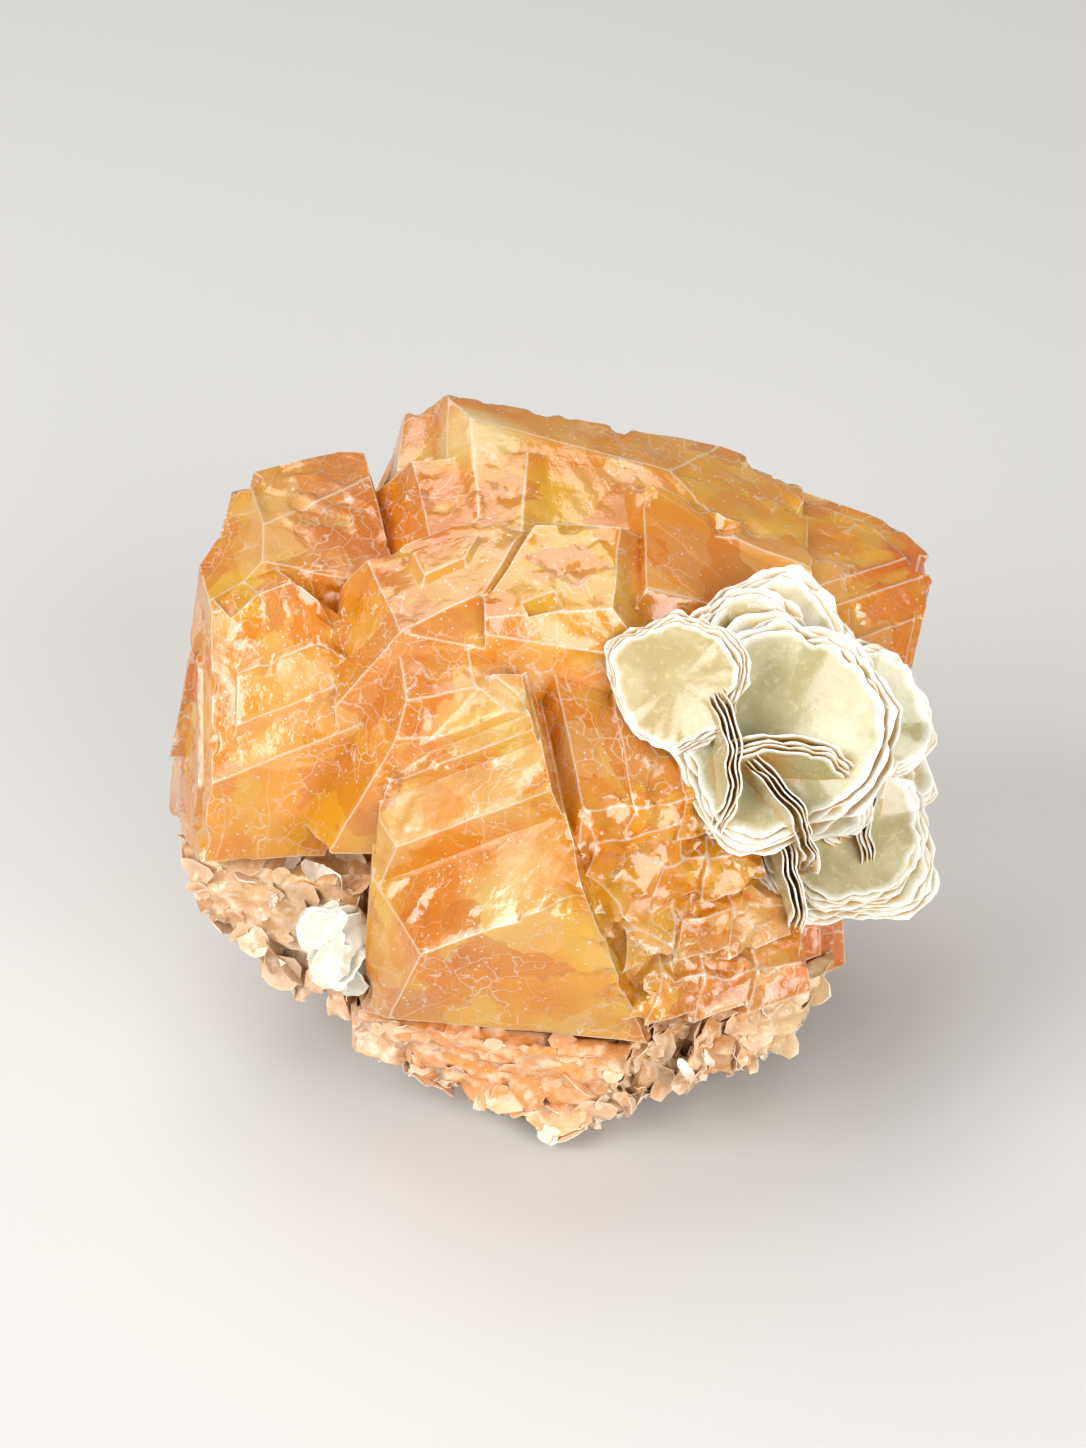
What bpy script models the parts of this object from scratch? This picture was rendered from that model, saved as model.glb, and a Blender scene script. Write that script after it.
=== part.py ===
"""Scheelite with muscovite: a hand specimen about 71 mm wide.

Orange scheelite crystals have grown into each other on a crust of tan mica.
A rosette of pale muscovite leaves sits on the right, and a small bud of the
same mica sits low on the left. The crust ends in a flat broken face, and the
specimen rests on that.

Directions: X runs right, Y runs away from the viewer and Z runs up. All the
sizes below are in millimetres and all the angles are in degrees. A direction
is a turn and a lift. Turn 0 faces the viewer, turn 90 faces right and turn 180
faces away. Lift 90 looks straight up and lift -90 looks straight down.
"""

import math
import random

import bmesh
import bpy
from mathutils import Matrix, Vector

NAME = "scheelite_with_muscovite"
MM = 0.001
GAP = 0.3
ROUGH_BLOCK = 140
ORIGIN = (0.5, -2.5, 0)

# Scheelite is tetragonal. Its c axis is 2.17 times its a axis, and that ratio
# fixes the slopes of the two pyramids that bound a crystal.
C_TO_A = 2.17
STEEP_LIFT = math.degrees(math.atan(1 / C_TO_A))
MAIN_LIFT = math.degrees(math.atan(math.sqrt(2) / C_TO_A))

# A crystal is a centre and its flat faces, each as (turn, lift, reach). Reach
# is how far the face lies from the centre.
CRYSTALS = {
    "left": ((-23, -2, 30), [
        (-9, 43, 13), (11, -2, 11), (-78, 10, 9), (-80, 71, 17), (-112, 8, 11.5),
        (90, -20, 5), (0, -70, 8), (0, -90, 12), (180, 10, 12), (-140, -10, 12), (130, 40, 12)]),
    "upper_left": ((-22, 6, 40), [
        (-77, 43, 9), (54, 75, 9), (100, 87, 9.5), (-95, 12, 8.5), (-151, 20, 11.5),
        (178, 15, 14), (-165, -15, 14), (100, 10, 9), (0, 10, 8), (0, -90, 10)]),
    "behind": ((-10, 19, 44), [
        (-59, 68, 6), (-90, 15, 4.5), (175, 25, 6.5), (180, 0, 4), (90, 10, 5), (0, 20, 5),
        (0, -90, 10)]),
    "top": ((6, 14, 42), [
        (-67, 58, 15.5), (-82, 29, 17.5), (130, 77, 9.5), (20, 78, 10), (93, 69, 10.5),
        (169, 30, 9.5), (0, 20, 13), (176, -14, 8.5), (90, 0, 18), (0, -90, 24)]),
    "saddle": ((-5, 6, 40), [
        (-42, 78, 11), (-75, 35, 10.5), (60, 70, 12), (90, 10, 12), (0, 20, 12), (180, 20, 10),
        (-90, 0, 11), (0, -90, 10)]),
    "slab": ((-9, -3, 42), [
        (-55, 78, 8.5), (-70, 35, 9), (-152, 25, 7), (175, 25, 8), (60, 35, 10), (15, 45, 10.5),
        (0, 0, 9), (-90, 0, 9), (90, 0, 9), (0, -90, 8)]),
    "slab_low": ((-8, -8, 37), [
        (-12, 60, 10.5), (50, 57, 10.5), (-65, 25, 9), (0, 25, 10), (80, 20, 8), (180, 20, 6),
        (-130, 10, 8), (130, 10, 9), (0, 0, 9), (0, -90, 8)]),
    "pyramid": ((3, -3, 38), [
        (0, 78, 13.5), (-108, 30, 11), (75, 40, 11.5), (5, 25, 12), (178, 30, 9.5),
        (90, 0, 7), (-90, 0, 8), (0, 0, 9), (0, -90, 6)]),
    "shoulder": ((16, 2, 38), [
        (56, 62, 9.5), (20, 30, 10), (-80, 30, 13), (160, 30, 9), (90, 10, 12), (180, 0, 10),
        (-90, 0, 12), (0, 0, 13), (0, -90, 9)]),
    "right": ((26, 6, 34), [
        (90, 78, 10), (46, 26, 8.5), (98, -28, 5), (160, 5, 12), (120, 20, 13), (-90, 10, 12),
        (20, -10, 12), (0, -60, 12), (180, -30, 12)]),
    "scaly": ((9, -12, 26), [
        (40, 57, 12), (31, 22, 11.5), (62, 8, 8), (-60, 30, 14), (0, -5, 13.5), (20, -50, 11),
        (180, 0, 12), (-90, -10, 10), (0, -90, 13)]),
    "low_right": ((16, -4, 14), [
        (41, 20, 9.5), (100, 0, 11), (-40, 10, 12), (180, 10, 12), (30, -60, 8.5), (0, 85, 14),
        (-90, 0, 14), (160, -35, 12), (0, -90, 6)]),
    "back_body": ((10, 8, 24), [
        (95, -15, 15), (178, -12, 14), (140, -8, 16), (-140, -10, 14), (0, 0, 8), (-90, 0, 14),
        (150, 40, 14), (0, 90, 12), (0, -90, 12)]),
}

# The front crystal grew in steps. Each step is (reach of its upper face, reach
# of its front face). Its other faces are the ones below, and every step draws
# them in a little more than the one before.
FRONT_CENTRE = (-3, -17, 22)
FRONT_UPPER = (-49, 47)
FRONT_FACE = (-3, -12)
FRONT_SIDES = [
    (94, 17, 9), (-60, 10, 12.5), (-90, 5, 12.5), (-10, -55, 9.5), (180, 0, 4), (0, -90, 14),
    (0, 85, 24)]
FRONT_STEPS = [(12, 10), (15, 2.5), (16.5, -2), (17.5, -3.5)]
FRONT_DRAW_IN = 0.3

# Terraces are thin growth layers: the same crystal drawn in on its other faces
# and raised on one. Each is (crystal, face number, share of the others, raise).
TERRACES = [
    ("left", 0, 0.78, 0.6), ("left", 2, 0.72, 0.5), ("right", 0, 0.8, 0.5), ("right", 1, 0.75, 0.5),
    ("slab", 0, 0.75, 0.6), ("top", 3, 0.7, 0.5), ("upper_left", 1, 0.7, 0.5),
    ("low_right", 0, 0.75, 0.6)]

# The rounded mass beside the front crystal is shingled with small corners, all
# turned the same way. Rows run down it and columns run across.
SHINGLE_START = (4.5, -19.5, 36.5)
SHINGLE_ACROSS = (4.5, 1.5, -0.5)
SHINGLE_DOWN = (2, -1.5, -5)
SHINGLES = (4, 3)
SHINGLE_FACES = [
    (38, 58, 2.5), (28, 20, 3), (95, 10, 3.5), (-62, 25, 3), (180, -30, 4), (30, -70, 3)]

# Broken corners: centre, turn and lift of the break, and size.
CHIPS = [
    ((-30.5, -15.5, 34.5), -35, 25, 3), ((-27.5, -3, 47.5), -60, 60, 3),
    ((36, 9, 42.5), 80, 30, 3), ((27.5, -3, 44), 40, 60, 2.5), ((-8, 23, 54), -120, 50, 3),
    ((23.5, 18.5, 47.5), 120, 40, 4), ((-3.5, -30, 31.5), -20, 30, 2.5),
    ((4.5, -30.5, 36.5), 40, 40, 3), ((0, -10, 51.5), 20, 50, 3), ((-28, 13, 49.5), -140, 45, 3)]

# Crystals at the back keep their full shape: two steep and two main pyramids
# on one axis. Each is its centre, the turn and lift of its axis, its spin about
# that axis, and the reach of its main and of its steep faces.
BACK_CRYSTALS = {
    "back_left": ((-20, 8, 25), -140, 35, 20, 10, 10.5),
    "back_middle": ((-6, 11, 25), 170, 55, 15, 10.5, 11.5),
    "back_right": ((20, 9, 26), 125, 20, 35, 9, 10),
    "back_low": ((8, 11, 20), -160, 25, 50, 9, 9.5),
    "back_small": ((-14, 16, 17), 150, 10, 5, 6, 6.5),
}

# The crust is tan mica. Its blocks are given as the crystals are.
CRUST = {
    "base": ((0, -2, 9), [
        (0, -90, 9), (10, 82, 4), (0, -20, 15), (-40, -25, 15), (50, -25, 15), (90, -30, 18),
        (-95, -35, 17), (175, -28, 17), (-140, -30, 18), (130, -35, 17)]),
    "keel": ((-2, -12, 8), [
        (-16, -25, 9), (-55, -40, 9), (0, -20, 11.5), (0, -90, 8), (0, 80, 8), (60, -20, 12),
        (180, 0, 11), (-90, 0, 14)]),
    "left_bank": ((-22, -4, 16), [
        (-19, 0, 8), (-80, -10, 9.5), (-35, -50, 5.5), (0, 84, 8), (90, 0, 14), (170, -20, 13),
        (-130, -20, 9), (-90, -60, 9.5), (0, -90, 12)]),
    "right_bank": ((15, -4, 10), [
        (28, -10, 12.5), (90, -10, 11), (70, -20, 11.5), (30, -60, 11), (0, 90, 2.5),
        (-60, 0, 14), (180, 0, 14), (110, -50, 10), (0, -90, 9)]),
    "back_bank": ((2, 10, 11), [
        (165, -18, 9.5), (-155, -10, 11), (125, -15, 15), (-120, -25, 15), (180, 60, 8),
        (0, 0, 10), (0, -60, 12), (0, -90, 10), (90, -10, 17), (-90, -10, 18)]),
}

# Books of mica stand out of the crust along a trail round it. Each is turned
# and tilted a little off the way it faces.
BOOK_TRAIL = [
    (-29, -6, 16.5), (-20, -12, 13.5), (-11.5, -17, 9), (1, -21, 6.5), (14, -19, 6.5),
    (22.5, -11, 10), (23.5, 3, 11), (17, 14, 11), (0, 17, 9), (-17, 13.5, 11), (-27, 4.5, 15)]
BOOKS_PER_STRETCH = 4
BOOK_SCATTER = 2
BOOK_TURN = 55
BOOK_TILT = (-40, 25)
BOOK_RADIUS = (2, 4)
BOOK_THICKNESS = (1, 2)
BOOK_CLEAR = 0.5
BOOK_SEED = 11

# Muscovite leaves: centre, turn and lift of the face, radius and cupping.
LEAVES = [
    ((11.5, -14.5, 45.5), -20, 25, 5.5, 0.10),
    ((20.5, -14.5, 41.5), -12, 42, 8.5, 0.12),
    ((16.5, -12.5, 44), -8, 38, 7, 0.12),
    ((20, -10, 43.5), 10, 40, 7.5, 0.12),
    ((25.5, -11.5, 39), 40, 30, 8, 0.15),
    ((27, -10.5, 35.5), 55, 25, 8, 0.15),
    ((27.5, -11, 31.5), 62, 10, 7, 0.15),
    ((14.5, -16.5, 39), -72, 8, 6, 0.10),
    ((20.5, -18.5, 37.5), -10, -15, 6.5, 0.10),
    ((18.5, -18.5, 35.5), -45, -15, 6.5, 0.10),
    ((19.5, -17.5, 29.5), -60, -8, 6, 0.10),
    ((26, -15.5, 31), 15, 45, 7, 0.10),
    ((26, -15, 29.5), 10, 50, 7.5, 0.10),
    ((30, -13, 30.5), 60, 12, 5, 0.10),
]
LEAF_THICKNESS = 1.3
LEAF_SIDES = 12
BUD = ((-17.5, -19.5, 22), [
    (-20, 15, 3), (-70, 30, 3), (30, 40, 3), (-40, -50, 3), (80, 0, 3.5), (180, 0, 5),
    (0, 80, 3), (-100, -20, 3), (40, -30, 3.5)])

SCHEELITE = ("scheelite", (0.90, 0.42, 0.08), 0.22)
MUSCOVITE = ("muscovite", (0.78, 0.74, 0.55), 0.30)
TAN_MICA = ("tan_mica", (0.62, 0.42, 0.26), 0.45)


def clear_scene():
    for item in list(bpy.data.objects):
        bpy.data.objects.remove(item, do_unlink=True)


def new_collection(name):
    group = bpy.data.collections.new(name)
    bpy.context.scene.collection.children.link(group)
    return group


def facing(turn, lift):
    """The unit vector that looks along a turn and a lift."""
    t = math.radians(turn)
    rise = math.radians(lift)
    return Vector((math.sin(t) * math.cos(rise), -math.cos(t) * math.cos(rise), math.sin(rise)))


def block_mesh(name, centre, cuts, grow=0.0):
    """A block cut flat on each side; cuts are (unit normal, reach)."""
    bm = bmesh.new()
    bmesh.ops.create_cube(bm, size=ROUGH_BLOCK * MM)
    for normal, reach in cuts:
        everything = bm.verts[:] + bm.edges[:] + bm.faces[:]
        result = bmesh.ops.bisect_plane(
            bm, geom=everything, dist=1e-7, plane_co=normal * (reach + grow) * MM,
            plane_no=normal, clear_outer=True)
        rim = [part for part in result["geom_cut"] if isinstance(part, bmesh.types.BMEdge)]
        if rim:
            bmesh.ops.contextual_create(bm, geom=rim)
    bmesh.ops.recalc_face_normals(bm, faces=bm.faces[:])
    bmesh.ops.translate(bm, verts=bm.verts[:], vec=(Vector(centre) - Vector(ORIGIN)) * MM)
    mesh = bpy.data.meshes.new(name)
    bm.to_mesh(mesh)
    bm.free()
    return mesh


def plain_cuts(faces):
    return [(facing(turn, lift), reach) for turn, lift, reach in faces]


def habit_cuts(turn, lift, spin, main_reach, steep_reach):
    """The sixteen faces of a whole scheelite crystal, turned to its axis."""
    axis = facing(turn, lift)
    stand = axis.to_track_quat("Z", "Y").to_matrix() @ Matrix.Rotation(math.radians(spin), 3, "Z")
    cuts = []
    for quarter in range(4):
        for side in (1, -1):
            main = facing(45 + 90 * quarter, side * MAIN_LIFT)
            steep = facing(90 * quarter, side * STEEP_LIFT)
            cuts.append((stand @ main, main_reach))
            cuts.append((stand @ steep, steep_reach))
    return cuts


def box_cuts(turn, lift, half_size):
    """The six faces of a box that looks along a turn and a lift."""
    ways = (facing(turn, lift), facing(turn + 90, 0), facing(turn, lift + 90))
    return [(way * sign, half_size) for way in ways for sign in (1, -1)]


def book_cuts(turn, lift, radius, half_thickness):
    """A six-sided plate whose flat face looks along a turn and a lift."""
    normal = facing(turn, lift)
    stand = normal.to_track_quat("Z", "Y").to_matrix()
    cuts = [(normal, half_thickness), (-normal, half_thickness)]
    for side in range(6):
        angle = math.radians(60 * side)
        cuts.append((stand @ Vector((math.cos(angle), math.sin(angle), 0)), radius))
    return cuts


def terrace_shapes():
    shapes = []
    for name, raised, share, rise in TERRACES:
        centre, faces = CRYSTALS[name]
        layer = [(turn, lift, reach * share) for turn, lift, reach in faces]
        turn, lift, reach = faces[raised]
        layer[raised] = (turn, lift, reach + rise)
        shapes.append((f"{name}_terrace_{raised}", centre, plain_cuts(layer)))
    return shapes


def shingle_shapes():
    shapes = []
    rows, columns = SHINGLES
    for row in range(rows):
        for column in range(columns):
            place = Vector(SHINGLE_START) + Vector(SHINGLE_DOWN) * row
            place += Vector(SHINGLE_ACROSS) * column
            shapes.append((f"shingle_{row}_{column}", place, plain_cuts(SHINGLE_FACES)))
    return shapes


def crystal_shapes():
    """Every scheelite crystal as (name, centre, cuts)."""
    shapes = [(name, centre, plain_cuts(faces)) for name, (centre, faces) in CRYSTALS.items()]
    shapes += terrace_shapes() + shingle_shapes()
    for number, (upper, front) in enumerate(FRONT_STEPS):
        faces = [(*FRONT_UPPER, upper), (*FRONT_FACE, front)]
        for turn, lift, reach in FRONT_SIDES:
            faces.append((turn, lift, reach - FRONT_DRAW_IN * number))
        shapes.append((f"front_{number}", FRONT_CENTRE, plain_cuts(faces)))
    for name, (centre, turn, lift, spin, main_reach, steep_reach) in BACK_CRYSTALS.items():
        shapes.append((name, centre, habit_cuts(turn, lift, spin, main_reach, steep_reach)))
    return shapes


def crust_shapes():
    """The crust's blocks and the books of mica round it."""
    shapes = [(name, centre, plain_cuts(faces)) for name, (centre, faces) in CRUST.items()]
    dice = random.Random(BOOK_SEED)
    number = 0
    for start, end in zip(BOOK_TRAIL, BOOK_TRAIL[1:] + BOOK_TRAIL[:1]):
        for step in range(BOOKS_PER_STRETCH):
            centre = Vector(start).lerp(Vector(end), step / BOOKS_PER_STRETCH)
            centre.z += dice.uniform(-BOOK_SCATTER, BOOK_SCATTER)
            outward = math.degrees(math.atan2(centre.x, -centre.y))
            cuts = book_cuts(
                outward + dice.uniform(-BOOK_TURN, BOOK_TURN), dice.uniform(*BOOK_TILT),
                dice.uniform(*BOOK_RADIUS), dice.uniform(*BOOK_THICKNESS) / 2)
            cuts.append((facing(0, -90), centre.z - BOOK_CLEAR))
            shapes.append((f"book_{number}", centre, cuts))
            number += 1
    return shapes


def material(name, colour, roughness):
    made = bpy.data.materials.new(name)
    made.use_nodes = True
    shader = made.node_tree.nodes["Principled BSDF"]
    shader.inputs["Base Color"].default_value = (*colour, 1)
    shader.inputs["Roughness"].default_value = roughness
    shader.inputs["Metallic"].default_value = 0
    return made


def put(mesh, name, group):
    item = bpy.data.objects.new(name, mesh)
    group.objects.link(item)
    return item


def put_tool(mesh, name, group):
    """A shape that only cuts or joins; it is never part of the model."""
    item = put(mesh, name, group)
    item.hide_render = True
    item.display_type = "WIRE"
    return item


def combine(item, group, operation):
    change = item.modifiers.new(operation.lower(), "BOOLEAN")
    change.operation = operation
    change.operand_type = "COLLECTION"
    change.collection = group
    change.solver = "EXACT"


def grown_together(name, shapes, group, tools):
    """One solid from blocks that overlap."""
    label, centre, cuts = shapes[0]
    first = put(block_mesh(label, centre, cuts), name, group)
    combine(first, shape_group(name + "_blocks", shapes[1:], tools), "UNION")
    return first


def shape_group(name, shapes, tools, grow=0.0):
    """Blocks in a collection of their own; grow is a gap to leave round them."""
    group = bpy.data.collections.new(name)
    tools.children.link(group)
    for label, centre, cuts in shapes:
        put_tool(block_mesh(label, centre, cuts, grow), f"{name}_{label}", group)
    return group


def leaf_mesh(name, centre, turn, lift, radius, cupping):
    """A thin cupped plate with an uneven rim, still open before its thickness."""
    bm = bmesh.new()
    rings = [[bm.verts.new((0, 0, 0))]]
    for share, count in ((0.55, LEAF_SIDES // 2), (1.0, LEAF_SIDES)):
        ring = []
        for step in range(count):
            angle = 2 * math.pi * step / count
            uneven = 1 + 0.08 * math.sin(3 * angle + turn) + 0.05 * math.sin(5 * angle + lift)
            reach = radius * share * uneven
            height = cupping * reach * share * (1 + 0.5 * math.sin(2 * angle + radius))
            ring.append(bm.verts.new((reach * math.cos(angle), reach * math.sin(angle), height)))
        rings.append(ring)
    middle, inner, outer = rings
    for step in range(len(inner)):
        following = (step + 1) % len(inner)
        bm.faces.new((middle[0], inner[step], inner[following]))
        near = outer[2 * step]
        between = outer[2 * step + 1]
        far = outer[(2 * step + 2) % len(outer)]
        bm.faces.new((inner[step], near, between))
        bm.faces.new((inner[step], between, inner[following]))
        bm.faces.new((inner[following], between, far))
    stand = facing(turn, lift).to_track_quat("Z", "Y").to_matrix().to_4x4()
    place = Matrix.Translation((Vector(centre) - Vector(ORIGIN)) * MM)
    bmesh.ops.transform(bm, matrix=place @ stand @ Matrix.Scale(MM, 4), verts=bm.verts[:])
    mesh = bpy.data.meshes.new(name)
    bm.to_mesh(mesh)
    bm.free()
    return mesh


def thicken(item):
    skin = item.modifiers.new("thickness", "SOLIDIFY")
    skin.thickness = LEAF_THICKNESS * MM
    skin.offset = 0


def make_scheelite(group, tools, finish):
    item = grown_together("scheelite_crystals", crystal_shapes(), group, tools)
    item.data.materials.append(finish)
    breaks = [(f"chip_{number}", centre, box_cuts(turn, lift, size / 2))
              for number, (centre, turn, lift, size) in enumerate(CHIPS)]
    combine(item, shape_group("chips", breaks, tools), "DIFFERENCE")
    return item


def make_crust(group, tools, finish, crystals_grown):
    item = grown_together("mica_matrix", crust_shapes(), group, tools)
    item.data.materials.append(finish)
    combine(item, crystals_grown, "DIFFERENCE")
    return item


def make_rosette(group, tools, finish, crystals_grown):
    first = put(leaf_mesh("muscovite_rosette", *LEAVES[0]), "muscovite_rosette", group)
    first.data.materials.append(finish)
    thicken(first)
    others = bpy.data.collections.new("rosette_leaves")
    tools.children.link(others)
    for number, leaf in enumerate(LEAVES[1:]):
        label = f"leaf_{number}"
        thicken(put_tool(leaf_mesh(label, *leaf), label, others))
    combine(first, others, "UNION")
    combine(first, crystals_grown, "DIFFERENCE")
    return first


def make_bud(group, finish, crystals_grown):
    centre, faces = BUD
    item = put(block_mesh("muscovite_bud", centre, plain_cuts(faces)), "muscovite_bud", group)
    item.data.materials.append(finish)
    combine(item, crystals_grown, "DIFFERENCE")
    return item


def main():
    clear_scene()
    group = new_collection(NAME)
    tools = new_collection("cutters")
    crystals_grown = shape_group("crystal_clearance", crystal_shapes(), tools, GAP)
    muscovite = material(*MUSCOVITE)
    make_scheelite(group, tools, material(*SCHEELITE))
    crust = make_crust(group, tools, material(*TAN_MICA), crystals_grown)
    make_rosette(group, tools, muscovite, crystals_grown)
    make_bud(group, muscovite, crystals_grown)
    bud_grown = shape_group("bud_clearance", [("bud", BUD[0], plain_cuts(BUD[1]))], tools, GAP)
    combine(crust, bud_grown, "DIFFERENCE")


main()
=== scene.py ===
"""Scheelite with muscovite, dressed: a hand specimen on a plain pale floor."""
import math

import bmesh
import bpy
import numpy as np
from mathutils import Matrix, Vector
from mathutils.bvhtree import BVHTree
from mathutils.kdtree import KDTree


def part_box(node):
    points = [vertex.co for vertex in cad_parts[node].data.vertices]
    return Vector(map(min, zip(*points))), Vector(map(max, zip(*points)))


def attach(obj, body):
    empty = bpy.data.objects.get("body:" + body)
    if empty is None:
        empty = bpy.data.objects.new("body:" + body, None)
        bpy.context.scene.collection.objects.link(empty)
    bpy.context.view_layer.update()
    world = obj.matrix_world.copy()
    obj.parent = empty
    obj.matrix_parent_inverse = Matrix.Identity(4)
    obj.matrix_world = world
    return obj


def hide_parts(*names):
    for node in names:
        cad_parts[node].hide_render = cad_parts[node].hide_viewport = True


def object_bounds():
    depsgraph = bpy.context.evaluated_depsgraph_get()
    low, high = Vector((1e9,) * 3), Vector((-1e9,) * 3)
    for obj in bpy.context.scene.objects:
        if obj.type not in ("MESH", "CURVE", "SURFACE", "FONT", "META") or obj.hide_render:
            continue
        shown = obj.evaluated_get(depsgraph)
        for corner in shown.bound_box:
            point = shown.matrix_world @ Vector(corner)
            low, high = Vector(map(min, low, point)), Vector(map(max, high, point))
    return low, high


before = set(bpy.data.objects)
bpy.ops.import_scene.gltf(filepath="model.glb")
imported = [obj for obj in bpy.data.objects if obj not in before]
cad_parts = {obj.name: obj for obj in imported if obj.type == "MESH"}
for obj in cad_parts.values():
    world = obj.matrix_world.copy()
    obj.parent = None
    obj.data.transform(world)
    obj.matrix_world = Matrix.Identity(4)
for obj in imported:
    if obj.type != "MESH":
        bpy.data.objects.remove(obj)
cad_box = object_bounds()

MM = 0.001

# Design positions are in millimetres and share the solids' directions: X right,
# Y away from the viewer, Z up. ORIGIN is the solids' origin in them.
ORIGIN = np.array((0.5, -2.5, 0.0))

# The photograph was taken looking down at the middle of the specimen.
CAMERA_LIFT = 35
CAMERA_REACH = 311
CAMERA_AIM = (0, 0, 31)
LENS = 85
SENSOR = 36


def facing(turn, lift):
    """The unit vector that looks along a turn and a lift, as in the solids."""
    way = math.radians(turn)
    rise = math.radians(lift)
    return Vector((
        math.sin(way) * math.cos(rise), -math.cos(way) * math.cos(rise), math.sin(rise)))


def placed(point):
    """A design point, in metres in the frame."""
    return Vector((np.array(point, float) - ORIGIN) * MM)


# Repeatable noise on many points at once.

def cell_random(cells, seed):
    """A repeatable random number from 0 to 1 for each whole-number cell."""
    whole = cells.astype(np.int64)
    with np.errstate(over="ignore"):
        mixed = whole[:, 0] * 73856093 ^ whole[:, 1] * 19349663 ^ whole[:, 2] * 83492791
        mixed = (mixed + seed * 2654435761) & 0xFFFFFFFF
        mixed = ((mixed ^ (mixed >> 15)) * 2246822519) & 0xFFFFFFFF
        mixed = ((mixed ^ (mixed >> 13)) * 3266489917) & 0xFFFFFFFF
        mixed = mixed ^ (mixed >> 16)
    return mixed / 0xFFFFFFFF


def smooth_noise(points, size, seed):
    """Smooth noise from -1 to 1; size is the distance over which it changes."""
    scaled = points / size
    low = np.floor(scaled)
    part = scaled - low
    part = part * part * (3 - 2 * part)
    total = np.zeros(len(points))
    for corner in range(8):
        step = np.array((corner & 1, corner >> 1 & 1, corner >> 2 & 1))
        weight = np.prod(np.where(step, part, 1 - part), axis=1)
        total += weight * cell_random(low + step, seed)
    return total * 2 - 1


def layered_noise(points, size, seed, layers=3):
    """Smooth noise with finer, weaker noise added to it."""
    total = np.zeros(len(points))
    share = 1.0
    for layer in range(layers):
        total += share * smooth_noise(points, size / 2 ** layer, seed + layer)
        share *= 0.5
    return total / 1.75


def cell_noise(points, size, seed):
    """For each point: distance to the nearest and next seed point, the nearest's
    random number, and the way from it."""
    scaled = points / size
    low = np.floor(scaled)
    first = np.full(len(points), 9.0)
    second = np.full(len(points), 9.0)
    label = np.zeros(len(points))
    away = np.zeros((len(points), 3))
    for dx in (-1, 0, 1):
        for dy in (-1, 0, 1):
            for dz in (-1, 0, 1):
                cell = low + np.array((dx, dy, dz))
                spot = cell + np.stack([cell_random(cell, seed + k) for k in range(3)], axis=1)
                gap = np.linalg.norm(scaled - spot, axis=1)
                nearer = gap < first
                second = np.where(nearer, first, np.minimum(second, gap))
                label = np.where(nearer, cell_random(cell, seed + 7), label)
                away = np.where(nearer[:, None], scaled - spot, away)
                first = np.where(nearer, gap, first)
    return first * size, second * size, label, away * size


def blend(share, first, second):
    """Colours or points, mixed by a share for each one."""
    return first + share[:, None] * (second - first)


def ramp(value, low, high):
    """A smooth step from 0 at the low value to 1 at the high one."""
    share = np.clip((value - low) / (high - low), 0, 1)
    return share * share * (3 - 2 * share)


# Fine copies of the solids. Corners closer than WELD metres are one, and faces
# within FLAT_ANGLE degrees of each other are one facet.
WELD = 2e-6
FLAT_ANGLE = 0.5
# Edges are cut down to the wanted length in stages, so that triangles stay even.
SPLIT_STAGES = (12, 6, 3, 1.5, 1, 1)
SPLIT_PASSES = 3
# A convex edge sharper than this many degrees can be worn and chipped.
SHARP_ANGLE = 8


def fine_copy(node, longest):
    """A bmesh of a CAD node with its facets numbered and cut into small triangles,
    whose edges are at most the longest length in millimetres."""
    bm = bmesh.new()
    bm.from_mesh(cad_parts[node].data)
    bmesh.ops.remove_doubles(bm, verts=bm.verts[:], dist=WELD)
    bmesh.ops.dissolve_limit(
        bm, angle_limit=math.radians(FLAT_ANGLE), verts=bm.verts[:], edges=bm.edges[:])
    layer = bm.faces.layers.int.new("facet")
    for number, face in enumerate(bm.faces):
        face[layer] = number
    bmesh.ops.triangulate(bm, faces=bm.faces[:])
    for stage in SPLIT_STAGES:
        for _ in range(SPLIT_PASSES):
            long_edges = [edge for edge in bm.edges if edge.calc_length() > stage * longest * MM]
            if not long_edges:
                break
            bmesh.ops.subdivide_edges(bm, edges=long_edges, cuts=1)
            bmesh.ops.triangulate(bm, faces=bm.faces[:])
        inner = [edge for edge in bm.edges
                 if len(edge.link_faces) == 2
                 and edge.link_faces[0][layer] == edge.link_faces[1][layer]]
        bmesh.ops.beautify_fill(bm, faces=bm.faces[:], edges=inner, method="AREA")
    drop_doubled(bm)
    return bm, layer


def drop_doubled(bm):
    """Takes out faces that turning edges left back to back on the same corners."""
    bm.normal_update()
    same = {}
    for face in bm.faces:
        same.setdefault(frozenset(face.verts), []).append(face)
    pairs = []
    for faces in same.values():
        mostly = sum((face.normal for face in faces), Vector())
        faces.sort(key=lambda face: face.normal.dot(mostly))
        pairs += faces[:len(faces) // 2 * 2]
    bmesh.ops.delete(bm, geom=pairs, context="FACES")


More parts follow.
